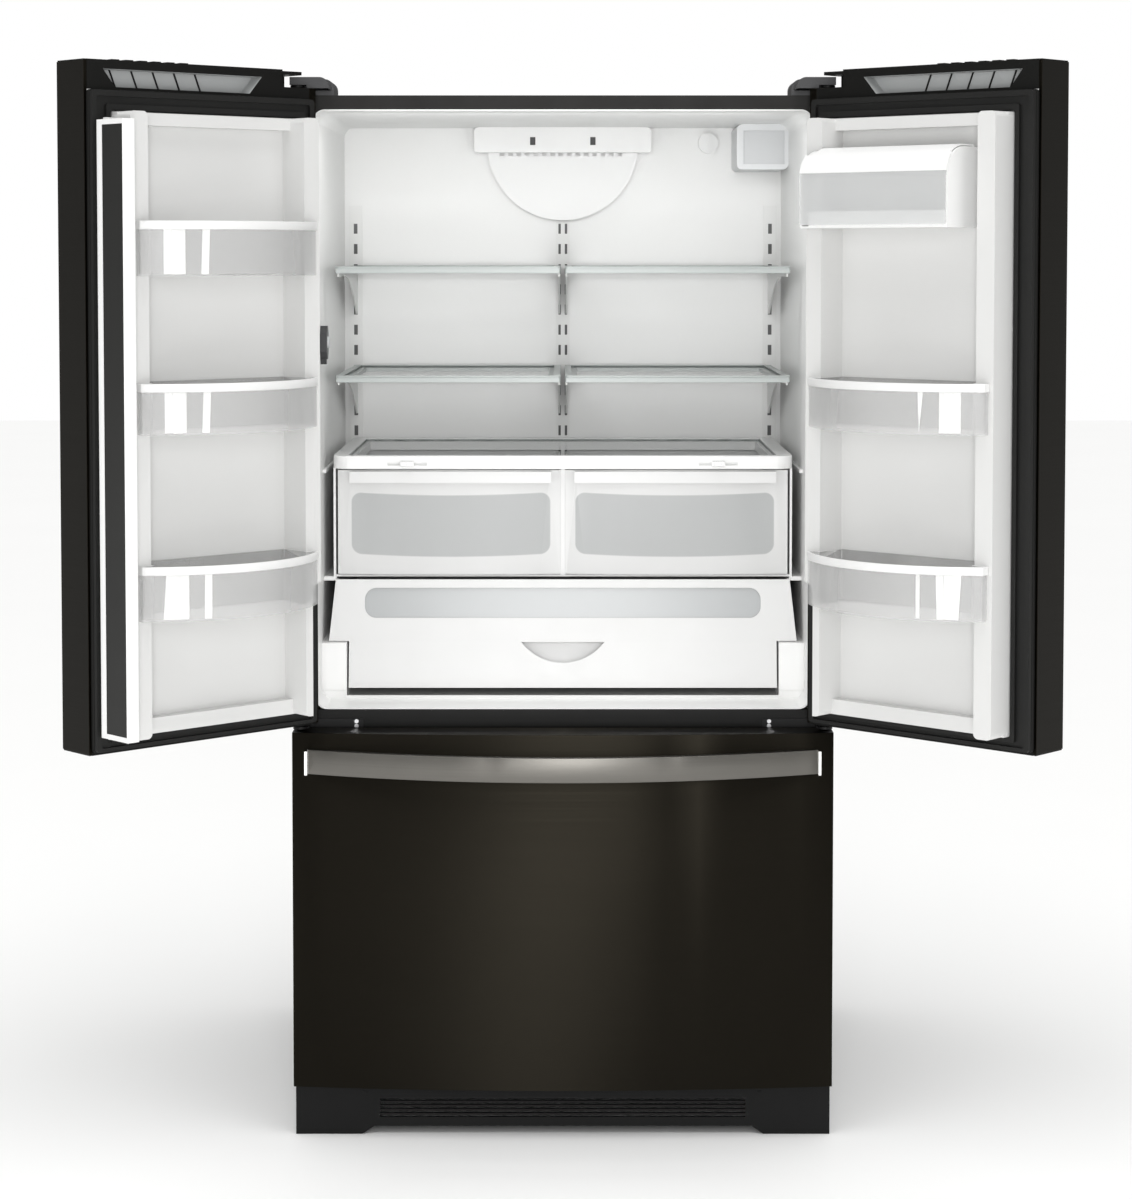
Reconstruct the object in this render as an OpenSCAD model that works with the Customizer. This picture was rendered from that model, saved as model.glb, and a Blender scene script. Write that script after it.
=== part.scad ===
// French door refrigerator with a bottom freezer drawer, standing open.
// +Z is up, -Y is the front, X runs across. The floor is z = 0 and the origin
// is under the middle of the box that holds the refrigerator with its doors open.
// Inside the modules Y is counted from the front plane of the cabinet.

/* [Cabinet] */
// width across the cabinet and its doors
body_w = 905; // [900:1:912]
// depth of the cabinet without its doors
body_d = 756; // [754:1:770]
// height of the cabinet top above the floor
body_h = 1749; // [1747:1:1756]
// thickness of the cabinet sheet steel
sheet_t = 1.5; // [1.2:0.1:1.8]
// wall of the inner liners
liner_t = 2; // [1.8:0.1:2.4]

/* [Doors] */
// angle at which both doors stand open
open_angle = 137.3; // [100:0.1:140]
// height of the door bottoms above the floor
door_z0 = 700; // [698:1:702]
// height of the door tops above the floor
door_z1 = 1785; // [1784:1:1790]
// how far the fronts bow out over the full width
bow = 26; // [20:0.5:28]
// thickness of the door sheet steel
skin_t = 1.2; // [1:0.1:1.4]
// radial clearance of the hinge pins in their bores
pin_fit = 0.06; // [0.03:0.01:0.09]

/* [Inside] */
// height of the rims of the upper door bins
bin_top = 1535; // [1525:1:1545]
// height of the underside of the upper glass shelves
shelf_hi = 1450; // [1440:1:1460]
// height of the underside of the lower glass shelves
shelf_lo = 1260; // [1250:1:1262]
// wall of the crispers, bins and baskets
bin_t = 2.5; // [2.2:0.1:2.8]

/* [Freezer] */
// height of the top edge of the drawer front
drawer_z1 = 685; // [683:0.5:686]
// how far the drawer handle stands out at its middle
handle_out = 60; // [50:1:64]

/* [Hidden] */
$fn = 72;
hw = body_w / 2;
sh = sheet_t;
lt = liner_t;
door_f = -91;
door_b = -15;
hx = 439.5;
hy = -47;
bow_r = (hw * hw + bow * bow) / (2 * bow);
front_y = hy - 431 * sin(open_angle) + 125.5 * cos(open_angle);
y0 = -(body_d + front_y) / 2;
ox = 417;
fr_z0 = 716;
fr_z1 = 1723.5;
fz_z0 = 120;
fz_z1 = 655;
deep = 650;
rail_z0 = 657;
rail_z1 = 714;

/* [Nodes] */
// the sub-part to draw, or all of them

// ---- shapes used all over ----
module bx(x0, x1, ya, yb, z0, z1) {
  translate([x0, ya, z0]) cube([x1 - x0, yb - ya, z1 - z0]);
}
module rr(x0, x1, ya, yb, r) {
  translate([x0 + r, ya]) square([x1 - x0 - 2 * r, yb - ya]);
  translate([x0, ya + r]) square([x1 - x0, yb - ya - 2 * r]);
  for (x = [x0 + r, x1 - r]) {
    for (y = [ya + r, yb - r]) {
      translate([x, y]) circle(r = r);
    }
  }
}
// plan shape raised from z0 to z1
module up(z0, z1) {
  translate([0, 0, z0]) linear_extrude(z1 - z0) children();
}
// front-view shape (x, z) drawn from ya back to yb
module fwd(ya, yb) {
  translate([0, yb, 0]) rotate([90, 0, 0]) linear_extrude(yb - ya) children();
}
// side-view shape (y, z) drawn from x0 to x1
module side(x0, x1) {
  translate([x0, 0, 0]) rotate([90, 0, 90]) linear_extrude(x1 - x0) children();
}
module zcyl(x, y, z0, z1, r) {
  translate([x, y, z0]) cylinder(r = r, h = z1 - z0);
}
module xcyl(x0, x1, y, z, r) {
  translate([x0, y, z]) rotate([0, 90, 0]) cylinder(r = r, h = x1 - x0);
}
module ycyl(x, z, ya, yb, r) {
  translate([x, yb, z]) rotate([90, 0, 0]) cylinder(r = r, h = yb - ya);
}
module both() {
  children();
  mirror([1, 0, 0]) children();
}
module at() {
  translate([0, y0, 0]) children();
}
module left() {
  at() translate([-hx, hy, 0]) rotate([0, 0, -open_angle])
    translate([hx, -hy, 0]) children();
}
module right() {
  mirror([1, 0, 0]) left() children();
}

// ---- cabinet ----
module opening(z0, z1, g) {
  fwd(-5, deep + g) rr(-ox - g, ox + g, z0 - g, z1 + g, 18 + g);
}
module cabinet_shell() {
  color([0.13, 0.13, 0.13]) at() {
    difference() {
      fwd(0, body_d - sh) rr(-hw, hw, 30, body_h, 6);
      fwd(sh, body_d + 1) rr(-hw + sh, hw - sh, 10, body_h - sh, 5);
      opening(fr_z0, fr_z1, lt);
      fwd(-5, 60) rr(-ox - lt, ox + lt, fz_z0 - lt, fz_z1 + lt, 14 + lt);
      fwd(-1, body_d) rr(-ox, ox, rail_z0 - 8, rail_z1 + 8, 4);
      bx(-hw + sh, hw - sh, -1, 60, 10, 70);
      bx(-hw - 1, hw + 1, -1, body_d, 29, 36);
    }
    bx(-hw + sh, hw - sh, sh, 540, 70, 71.5);
    bx(-hw + sh, hw - sh, 540, 541.5, 70, 263.5);
    bx(-hw + sh, hw - sh, 541.5, body_d - sh, 262, 263.5);
  }
}
module back_panel() {
  color([0.6, 0.62, 0.63]) at() difference() {
    union() {
      bx(-hw + sh, hw - sh, body_d - sh, body_d, 264, body_h - sh);
      for (x = [-300, 0, 300]) {
        bx(x - 40, x + 40, body_d - sh - 4, body_d - sh, 330, 1680);
      }
    }
    for (x = [-300, 0, 300]) {
      bx(x - 36, x + 36, body_d - sh - 2.5, body_d + 1, 334, 1676);
    }
  }
}
module machine_cover() {
  color([0.12, 0.12, 0.12]) at() {
    difference() {
      bx(-hw + sh, hw - sh, body_d - 3, body_d - 0.5, 44, 261);
      for (x = [-360:60:300]) {
        for (z = [70:24:230]) {
          bx(x, x + 44, body_d - 5, body_d + 1, z, z + 7);
        }
      }
      ycyl(-410, 220, body_d - 5, body_d + 1, 7);
    }
    // water inlet and the gland where the mains lead would enter
    ycyl(-410, 220, body_d - 30, body_d, 6.9);
    ycyl(395, 80, body_d - 16, body_d, 9);
    for (x = [-430, 430]) {
      for (z = [60, 245]) {
        ycyl(x, z, body_d - 1, body_d, 4);
      }
    }
  }
}
module cabinet_foam() {
  color([0.9, 0.85, 0.6]) at() difference() {
    intersection() {
      bx(-hw + sh, hw - sh, sh, body_d - sh - 4, 71.5, body_h - sh);
      fwd(0, body_d) rr(-hw + sh, hw - sh, 10, body_h - sh, 5);
    }
    bx(-hw, hw, 540, body_d, 70, 263.5);
    opening(fr_z0, fr_z1, lt);
    freezer_solid(lt);
    bx(-ox, ox, sh - 1, 40, rail_z0 - 12, rail_z1 + 12);
  }
}
module liner_details() {
  both() {
    // blocks beside the lower part of the pantry drawer
    difference() {
      bx(374, ox + 1, 105, 600, fr_z0 - 1, 811.5);
      bx(373, ox, 104, 106.5, 728, 730.5);
    }
    // ledges that carry the crisper frame, and the line above them
    bx(395, ox + 1, 160, 640, 914, 921);
    bx(412, ox + 1, 150, 640, 1103, 1109);
  }
  // step across the floor in front of the drawer
  bx(-374, 374, 96, 99, fr_z0 - 1, 722);
}
module fridge_liner() {
  color([0.93, 0.93, 0.93]) at() {
    difference() {
      fwd(0, deep + lt) rr(-ox - lt, ox + lt, fr_z0 - lt, fr_z1 + lt, 18 + lt);
      opening(fr_z0, fr_z1, 0);
    }
    intersection() {
      liner_details();
      fwd(0, deep + 1) rr(-ox - 1, ox + 1, fr_z0 - 1, fr_z1 + 1, 19);
    }
  }
}
module freezer_solid(g) {
  difference() {
    fwd(-5, deep - 10 + g) rr(-ox - g, ox + g, fz_z0 - g, fz_z1 + g, 14 + g);
    bx(-hw, hw, 498 + g, body_d, 60, 306 - g);
  }
}
module freezer_liner() {
  color([0.9, 0.91, 0.92]) at() {
    difference() {
      freezer_solid(lt);
      freezer_solid(0);
      bx(-hw, hw, -10, 0, 0, 800);
    }
    // cover over the evaporator at the back of the compartment
    difference() {
      bx(-ox, ox, 618, 624, 330, 640);
      for (x = [-280:40:260]) {
        bx(x, x + 26, 617, 625, 590, 600);
        bx(x, x + 26, 617, 625, 350, 360);
      }
    }
  }
}
module center_rail() {
  color([0.08, 0.08, 0.08]) at() difference() {
    bx(-ox, ox, 0, 34, rail_z0, rail_z1);
    bx(-ox + 2, ox - 2, 2, 35, rail_z0 + 2, rail_z1 - 2);
  }
}

// ---- shelves ----
module ladder(x, cols, w, top) {
  difference() {
    bx(x - 13, x + 13, deep - 4, deep, 1085, top);
    for (c = cols) {
      for (i = [0:11]) {
        bx(x + c - w / 2, x + c + w / 2, deep - 5, deep - 1, 1098 + i * 38.6, 1117 + i * 38.6);
      }
    }
  }
}
module shelf_ladders() {
  color([0.92, 0.92, 0.92]) at() {
    ladder(-396, [0], 7, 1576);
    ladder(0, [-6.1, 6.1], 4.5, 1547);
    ladder(396, [0], 7, 1576);
  }
}
// bracket that hooks into the ladders, its top just under the shelf frame
module bracket(x0, x1, z) {
  side(x0, x1) difference() {
    translate([200, z - 80]) square([deep - 4 - 200, 79.9]);
    translate([330, z - 6 - 620]) circle(r = 620, $fn = 360);
    translate([190, z - 90]) square([140, 84]);
  }
}
module shelf_frame(x0, x1, z) {
  difference() {
    union() {
      up(z, z + 12) rr(x0, x1, 165, 640, 5);
      bx(x0 + 2, x1 - 2, 160, 170, z + 1, z + 8);
      bracket(x0 + 1, x0 + 4, z);
      bracket(x1 - 4, x1 - 1, z);
    }
    bx(x0 + 22, x1 - 22, 188, 618, z - 1, z + 7.01);
    bx(x0 + 12, x1 - 12, 176, 628, z + 7, z + 13);
  }
}
module pane(x0, x1, ya, yb, z) {
  bx(x0, x1, ya, yb, z, z + 4);
}
module upper_shelf_frames() {
  color([0.85, 0.87, 0.86]) at() both() shelf_frame(4, 396, shelf_hi);
}
module lower_shelf_frames() {
  color([0.85, 0.87, 0.86]) at() both() shelf_frame(4, 396, shelf_lo);
}
module shelf_glass() {
  color([0.75, 0.85, 0.82, 0.4]) at() {
    both() {
      pane(16, 384, 176, 628, shelf_hi + 7);
      pane(16, 384, 176, 628, shelf_lo + 7);
    }
    pane(-374, 374, 166, 616, 1127);
  }
}
module crisper_frame() {
  color([0.92, 0.92, 0.92]) at() {
    // cover with its glass rebate
    difference() {
      up(1111, 1133) rr(-400, 400, 140, 642, 26);
      bx(-366, 366, 176, 606, 1105, 1127.01);
      bx(-374, 374, 166, 616, 1127, 1134);
      // slots of the two humidity controls
      for (x = [-270, 270]) {
        bx(x - 34, x + 34, 138, 146, 1117, 1122);
      }
    }
    // side walls, middle divider and the floor under the crispers
    both() bx(396, 400, 160, 640, 921, 1112);
    bx(-3.5, 3.5, 160, 640, 924, 1112);
    bx(-400, 400, 160, 640, 921, 924.6);
  }
}
module slider(x) {
  bx(x - 12, x + 12, 131, 139.7, 1115, 1125);
  bx(x - 8, x + 8, 139, 145.5, 1117.3, 1121.7);
  for (i = [-2:2]) {
    bx(x + i * 4 - 0.7, x + i * 4 + 0.7, 130, 132, 1116, 1124);
  }
}
module humidity_slider_left() {
  color([0.8, 0.8, 0.8]) at() slider(-270);
}
module humidity_slider_right() {
  color([0.8, 0.8, 0.8]) at() slider(270);
}

// ---- crispers and pantry ----
module crisper_plan(i) {
  intersection() {
    rr(5 + i, 385.5 - i, 148 + i, 625 - i, 12 - i);
    translate([195, 148 + 2400]) circle(r = 2400 - i, $fn = 720);
  }
}
module crisper() {
  difference() {
    union() {
      up(926, 1108) crisper_plan(0);
      // front flange that covers the gaps beside the box
      up(926, 1108) intersection() {
        difference() {
          translate([195, 148 + 2400]) circle(r = 2400, $fn = 720);
          translate([195, 148 + 2400]) circle(r = 2400 - bin_t, $fn = 720);
        }
        translate([3.5, 140]) square([388.5, 30]);
      }
      // lip along the top edge, hollow underneath for the fingers
      difference() {
        bx(20, 371, 143, 156, 1086, 1106);
        bx(24, 367, 145.5, 157, 1080, 1102);
      }
      // runner ribs along the floor
      for (x = [40, 340]) {
        bx(x, x + 6, 180, 600, 924.9, 927);
      }
    }
    up(929, 1109) crisper_plan(bin_t);
  }
}
module crisper_left() {
  color([0.85, 0.87, 0.88, 0.6]) at() mirror([1, 0, 0]) crisper();
}
module crisper_right() {
  color([0.85, 0.87, 0.88, 0.6]) at() crisper();
}
module pantry_hi(i) {
  polygon([[122.9 + i, 812.5 + i], [596 - i, 812.5 + i], [596 - i, 918], [141.2 + i, 918]]);
}
module pantry_lo(i) {
  polygon([[110 + i, 733 + i], [596 - i, 733 + i], [596 - i, 813], [122.9 + i, 813]]);
}
// the plane of the leaning front: X across, Z up along the front
module slant() {
  translate([0, 110, 733]) rotate([-9.73, 0, 0]) children();
}
module pantry_drawer() {
  color([0.93, 0.93, 0.94]) at() {
    difference() {
      union() {
        side(-394, 394) pantry_hi(0);
        side(-371, 371) pantry_lo(0);
        // front plate, wider than the box and narrowing upwards
        slant() fwd(0, 3) polygon([[-406, 81], [406, 81], [395, 187], [-395, 187]]);
      }
      side(-391, 391) translate([0, 0.1]) pantry_hi(3);
      side(-368, 368) pantry_lo(3);
      side(-368, 368) polygon([[126.6, 812], [593, 812], [593, 817], [127.4, 817]]);
      // window opening in the front
      slant() fwd(-6, 8) rr(-344, 344, 121, 173, 20);
      slant() scoop(-8, 6, 90, 79);
    }
    // wall of the scoop, closed behind and above
    slant() difference() {
      scoop(1.5, 26, 93, 82);
      scoop(0, 23, 90, 79);
    }
    // clear window set behind its opening
    slant() fwd(2.9, 5) rr(-348, 348, 117, 177, 22);
  }
}
// outline of the finger scoop of the drawer
module scoop(ya, yb, r, top) {
  fwd(ya, yb) intersection() {
    translate([0, 133]) circle(r = r);
    translate([-100, 20]) square([200, top - 20]);
  }
}

// ---- small parts inside ----
module air_cover() {
  color([0.94, 0.94, 0.94]) at() {
    difference() {
      union() {
        fwd(628, deep) intersection() {
          translate([0, 1691]) circle(r = 143);
          translate([-200, 1500]) square([400, 180]);
        }
        fwd(606, deep) rr(-168, 168, 1676, fr_z1, 8);
      }
      for (x = [-57, 57]) {
        bx(x - 5, x + 5, 605, 616, 1690, 1705);
      }
      for (x = [-120:16:104]) {
        bx(x, x + 9, 612, 640, 1670, 1680);
      }
    }
    ycyl(0, 1556, 626, 629, 3);
  }
}
module filter_housing() {
  color([0.86, 0.87, 0.88]) at() {
    difference() {
      fwd(480, deep) intersection() {
        rr(322, ox, 1640, fr_z1, 10);
        rr(-ox, ox, fr_z0, fr_z1, 18);
      }
      bx(334, 410, 478, 482, 1650, 1712);
    }
    bx(336, 408, 481.5, 484, 1652, 1710);
  }
}
module temperature_dial() {
  color([0.95, 0.95, 0.95]) at() difference() {
    union() {
      ycyl(277, 1695, 634, 649.5, 19);
      bx(274.5, 279.5, 629, 635, 1679, 1711);
    }
    bx(276.5, 277.5, 628, 630, 1700, 1710);
  }
}
module dispenser_housing() {
  color([0.35, 0.36, 0.37]) at() {
    difference() {
      side(-ox, -405) polygon([[94, 1316], [94, 1346], [106, 1360], [120, 1360], [132, 1346],
        [132, 1316], [120, 1303], [106, 1303]]);
      xcyl(-413, -404, 113, 1332, 10.4);
    }
    // spout under the button
    side(-ox, -407) polygon([[104, 1304], [122, 1304], [118, 1294], [108, 1294]]);
  }
}
module dispenser_button() {
  color([0.6, 0.62, 0.64]) at() xcyl(-409, -402, 113, 1332, 10);
}

// ---- hinges ----
module upper_hinges() {
  color([0.3, 0.3, 0.3]) at() both() {
    bx(386, 450, 6, 80, body_h, body_h + 4);
    bx(426.5, 450, 2, 14, body_h, 1762);
    bx(426.5, 450, hy, 14, 1758.5, 1762);
    zcyl(hx, hy, 1758.5, 1762, 12);
    zcyl(hx, hy, 1741, 1759, 5);
    for (x = [400, 418]) {
      zcyl(x, 60, body_h + 3, body_h + 7, 6);
    }
  }
}
// front view of the hinge cover with its rounded shoulder
module cover_front(x0, z0) {
  difference() {
    translate([x0, z0]) square([452 - x0, 1776 - z0]);
    difference() {
      translate([x0 - 1, 1760]) square([17, 17]);
      translate([x0 + 16, 1760]) circle(r = 16);
    }
  }
}
module hinge_covers() {
  color([0.24, 0.24, 0.25]) at() both() difference() {
    union() {
      fwd(0.5, 86) cover_front(383, body_h);
      fwd(-57, 1) difference() {
        cover_front(387, 1757.5);
        translate([424, 1750]) square([40, 13]);
      }
    }
    bx(399, 450.5, 3, 83, body_h - 1, 1773.5);
    bx(385.5, 400, 3, 83, body_h - 1, 1762);
    bx(403, 450.5, -55, 4, 1757, 1773.5);
    bx(389.5, 404, -55, 4, 1757, 1762);
    bx(426, 450.5, -1, 14, body_h - 1, 1763);
  }
}
module center_hinges() {
  color([0.08, 0.08, 0.08]) at() both() {
    bx(338, 450, -3, 0, 668, 698);
    bx(426, 450, hy, -2, 689, 693);
    zcyl(hx, hy, 689, 693, 12.5);
    zcyl(hx, hy, 692, 722, 5);
    for (z = [686, 694]) {
      ycyl(349, z, -5.5, -2, 3.5);
    }
  }
}

// ---- bottom of the cabinet ----
module grille_face() {
  difference() {
    translate([-450, 0.5]) square([900, 83]);
    polygon([[-338, -1], [338, -1], [338, 0.5], [318, 14], [-318, 14], [-338, 0.5]]);
    for (i = [0:4]) {
      translate([-308, 29 + i * 7]) square([616, 4]);
    }
  }
}
module base_grille() {
  color([0.07, 0.07, 0.07]) at() {
    fwd(-51, -46) grille_face();
    // louvre blades behind the slots
    for (i = [0:4]) {
      translate([0, -46, 28 + i * 7]) rotate([-35, 0, 0]) bx(-312, 312, 0, 8, 0, 1.2);
    }
    both() {
      bx(446, 450, -46.5, 40, 36, 68);
      bx(312, 318, -46.5, -38, 24, 70);
      bx(366, 450, -46.5, -20, 78, 83);
      ycyl(333, 70, -52.5, -50, 4);
    }
  }
}
module base_frame() {
  color([0.35, 0.36, 0.37]) at() {
    both() {
      difference() {
        union() {
          bx(406, 446, 6, 750, 66, 70);
          bx(406, 408.5, 6, 750, 28, 66.5);
          bx(443.5, 446, 6, 750, 40, 66.5);
          bx(408, 444, 18, 52, 34, 46);
          bx(409, 412.5, 680, 720, 14, 67);
          bx(437.5, 441, 680, 720, 14, 67);
          xcyl(409, 441, 700, 20, 4);
        }
        zcyl(426, 35, 30, 50, 6.6 + pin_fit);
      }
    }
    bx(-407, 407, 545, 750, 28, 30.5);
    // drain pan
    difference() {
      bx(-330, 60, 556, 744, 30, 48);
      bx(-327.5, 57.5, 558.5, 741.5, 32.5, 49);
    }
    // fan shroud and motor
    difference() {
      bx(98, 101, 560, 740, 30, 226);
      xcyl(95, 104, 650, 135, 82);
    }
    xcyl(108, 136, 650, 135, 24);
    bx(101, 108, 645, 655, 30, 226);
    xcyl(78, 110, 650, 135, 2.5);
    bx(128, 136, 640, 660, 30, 116);
  }
}
module roller(x) {
  difference() {
    xcyl(x - 11, x + 11, 700, 20, 20);
    xcyl(x - 12, x + 12, 700, 20, 4 + pin_fit);
    for (s = [-1, 1]) {
      xcyl(x + s * 11 - 2, x + s * 11 + 2, 700, 20, 14);
    }
  }
  xcyl_ring(x);
}
module xcyl_ring(x) {
  difference() {
    xcyl(x - 11, x + 11, 700, 20, 8);
    xcyl(x - 12, x + 12, 700, 20, 4 + pin_fit);
  }
}
module roller_left() {
  color([0.2, 0.2, 0.2]) at() roller(-425);
}
module roller_right() {
  color([0.2, 0.2, 0.2]) at() roller(425);
}
module leg(x) {
  zcyl(x, 35, 8, 50, 6);
  zcyl(x, 35, 0, 5, 17);
  zcyl(x, 35, 5, 9, 11);
  for (i = [0:6]) {
    zcyl(x, 35, 12 + i * 3, 13.2 + i * 3, 6.6);
  }
}
module leveling_leg_left() {
  color([0.6, 0.6, 0.62]) at() leg(-426);
}
module leveling_leg_right() {
  color([0.6, 0.6, 0.62]) at() leg(426);
}
module compressor() {
  color([0.05, 0.05, 0.05]) at() translate([270, 650, 0]) {
    translate([0, 0, 44]) rotate_extrude() intersection() {
      rr(-82, 82, 0, 160, 46);
      translate([0, 0]) square([90, 200]);
    }
    bx(-70, 70, -60, 60, 40, 46);
    for (x = [-58, 58]) {
      for (y = [-48, 48]) {
        zcyl(x, y, 30.5, 41, 11);
      }
    }
    bx(-28, 28, -94, -72, 90, 140);
    zcyl(60, 66, 100, 180, 4);
  }
}
module condenser_coil() {
  color([0.1, 0.1, 0.1]) at() {
    for (r = [0:2]) {
      for (i = [0:5]) {
        xcyl(-300, 30, 590 + r * 55, 70 + i * 28, 3.5);
      }
      for (i = [0:4]) {
        translate([i % 2 == 0 ? 30 : -300, 590 + r * 55, 84 + i * 28]) coil_bend(i % 2 == 0);
      }
    }
    for (i = [0:10]) {
      bx(-290 + i * 31, -289 + i * 31, 578, 712, 58, 222);
    }
    for (x = [-296, 26]) {
      bx(x - 1, x + 1, 574, 716, 48, 226);
    }
  }
}
module coil_bend(rt) {
  rotate([90, 0, 0]) rotate([0, 0, rt ? -90 : 90]) rotate_extrude(angle = 180)
    translate([14, 0]) circle(r = 3.5, $fn = 24);
}
module condenser_fan() {
  color([0.15, 0.15, 0.16]) at() difference() {
    union() {
      xcyl(82, 96, 650, 135, 20);
      for (i = [0:4]) {
        translate([89, 650, 135]) rotate([i * 72, 0, 0]) rotate([0, 0, 32])
          bx(-1, 1, -19, 19, 14, 74);
      }
    }
    xcyl(70, 107.6, 650, 135, 2.5 + pin_fit);
  }
}

// ---- doors, drawn closed on the left side ----
module front_plan(x0, x1, i) {
  intersection() {
    translate([0, door_f + bow_r]) circle(r = bow_r - i, $fn = 720);
    translate([x0 + i, door_f - 10]) square([x1 - x0 - 2 * i, door_b - door_f + 10 - i]);
  }
}
module door_skin() {
  difference() {
    up(door_z0 + 2, door_z1 - 2) front_plan(-hw, -2, 0);
    up(door_z0, door_z1) front_plan(-hw, -2, skin_t);
    bx(-hw + 14, -8, door_b - 3, door_b + 1, door_z0, door_z1);
    hinge_notch();
  }
}
module hinge_notch() {
  bx(-hw - 2, -hx + 16, door_f - 2, door_b + 2, 1756.5, door_z1 + 2);
}
module cap_pocket() {
  fwd(-42, door_b + 1)
    polygon([[-342.5, 1771], [-37.5, 1771], [-60, 1743], [-318, 1743]]);
}
module cap_plan() {
  front_plan(-hw, -2, skin_t);
  translate([-hw + 14, door_b - 4]) square([hw - 22, 4]);
}
module door_caps() {
  difference() {
    union() {
      up(1738.5, door_z1) cap_plan();
      up(door_z0, 703) cap_plan();
      up(703, 726) cap_plan();
    }
    cap_pocket();
    hinge_notch();
    // room for the nose of the hinge cover, with a thin strip left above it
    bx(-hw - 2, -384.5, -62, door_b + 2, 1756.5, 1777);
    bx(-hw - 2, -384.5, -62, door_b + 2, door_z1 - 2.5, door_z1 + 2);
    bx(-300, -60, door_f + 20, -50, door_z1 - 3, door_z1 + 1);
    zcyl(-hx, hy, 1739.5, 1757, 5 + pin_fit);
    zcyl(-hx, hy, 699, 723, 5 + pin_fit);
  }
  // slanted ribs on the floor of the pocket
  for (i = [0:4]) {
    fwd(-42.5, -39.5) translate([-233.7 + i * 40.5, 1757])
      polygon([[7, 15], [5, 15], [-7, -15], [-5, -15]]);
  }
  // clips along the top edge
  for (i = [0:5]) {
    bx(-200 + i * 26, -186 + i * 26, -30, -18, door_z1 - 1, door_z1 + 1.5);
  }
}
module dike_cells(i) {
  // raised frame of the inner panel, with the hinge-side corner cut back
  difference() {
    union() {
      fwd(-17, 48.6 - i) rr(-409.5 + i, -379 - i, 727 + i, 1704 - i, 8 - i);
      fwd(-17, 48.6 - i) rr(-77 + i, -44.5 - i, 727 + i, 1704 - i, 8 - i);
      bx(-409 + i, -45 - i, -17, 12 - i, 1684 + i, 1703.5 - i);
      bx(-409 + i, -45 - i, -17, 12 - i, 727.5 + i, 752 - i);
    }
    fwd(-14 - i, 60) rr(-430, -393 + i, 690, 947 + i, 18);
  }
}
module door_foam() {
  difference() {
    up(726, 1738.5) front_plan(-hw, -2, skin_t);
    bx(-hw, 0, -17, 0, door_z0, door_z1);
  }
  intersection() {
    dike_cells(2.5);
    bx(-hw, 0, -17, 60, door_z0, door_z1);
  }
}
module door_liner() {
  difference() {
    union() {
      bx(-hw + 14.05, -8.05, -17, door_b, 726, 1738.5);
      dike_cells(0);
      // stops that carry the bins
      bx(-380, -376, -16, 44, 906, 913);
      bx(-80, -76, -16, 44, 906, 913);
      // inner panel between the raised edges
      fwd(-16, -9) rr(-380, -76, 740, 1696, 10);
    }
    intersection() {
      dike_cells(2.5);
      bx(-hw, 0, -17, 60, door_z0, door_z1);
    }
    up(door_z0, door_z1) difference() {
      translate([-hw - 5, -20]) square([hw + 5, 10]);
      translate([-hw + skin_t, -30]) square([hw - 2 - 2 * skin_t, 40]);
    }
  }
}
module gasket_ring(i, ya, yb) {
  difference() {
    fwd(ya, yb) rr(-hx + i, -6.5 - i, 705 + i, 1738 - i, 6);
    fwd(ya - 1, yb + 1) rr(-411.5 - i, -43 + i, 726.5 - i, 1706 + i, 6);
  }
}
module door_gasket() {
  gasket_ring(0, door_b, -8);
  difference() {
    gasket_ring(1, -9, -0.4);
    difference() {
      fwd(-6, 1) rr(-hx + 10, -16, 712, 1728, 4);
      fwd(-7, 2) rr(-420, -34, 719, 1716, 4);
    }
  }
}
// plan of a door bin: the box between the raised edges of the inner panel,
// then wider in front of them, with a rounded front
module bin_plan(i, b) {
  intersection() {
    union() {
      translate([-379 + i, b + i]) square([302 - 2 * i, 75]);
      translate([-392.5 + i, 50.5 + i]) square([340 - 2 * i, 90]);
    }
    translate([-222.5, -124]) circle(r = 252 - i, $fn = 360);
  }
}
// ribs is a list of [position, half width] of the ribs inside the front
module door_bin(z0, z1, ribs) {
  difference() {
    union() {
      up(z0, z1) bin_plan(0, -9);
      up(z1 - 13, z1) intersection() {
        bin_plan(-1.6, 60);
        translate([-500, 49]) square([500, 100]);
      }
    }
    up(z0 + 3, z1 + 1) bin_plan(bin_t, -9);
  }
  for (r = ribs) {
    up(z0 + 2.9, z1 - 13) intersection() {
      difference() {
        bin_plan(bin_t - 0.1, -9);
        bin_plan(bin_t + 1.5, -9);
      }
      translate([r[0] - r[1], 60]) square([2 * r[1], 90]);
    }
  }
}
module handle_bar(len, out, w, t) {
  // bar bowed outwards, drawn lying along X at y = 0 with its face to -Y
  sag = out + 1;
  r = (len * len + sag * sag) / (2 * sag);
  intersection() {
    difference() {
      translate([0, -out + r]) circle(r = r, $fn = 720);
      translate([0, -out + r]) circle(r = r - t, $fn = 720);
    }
    translate([-len, -out - 1]) square([2 * len, out + 20]);
  }
}
module door_handle() {
  difference() {
    union() {
      translate([-70, door_f, 1235]) rotate([0, 90, 0]) rotate([0, 0, 0])
        linear_extrude(24) rotate([0, 0, 0]) handle_bar(405, 52, 24, 12);
      for (z = [838, 1632]) {
        bx(-68, -48, door_f - 10, door_f + 3, z - 14, z + 14);
      }
    }
    up(700, 1785) front_plan(-hw, -2, 0);
  }
}
module mullion_section() {
  difference() {
    rr(-30.5, -8.5, 1.5, 82.5, 2);
    difference() {
      translate([-24, -5]) square([30, 21]);
      translate([-24, 16]) circle(r = 16.2);
    }
  }
}
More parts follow.
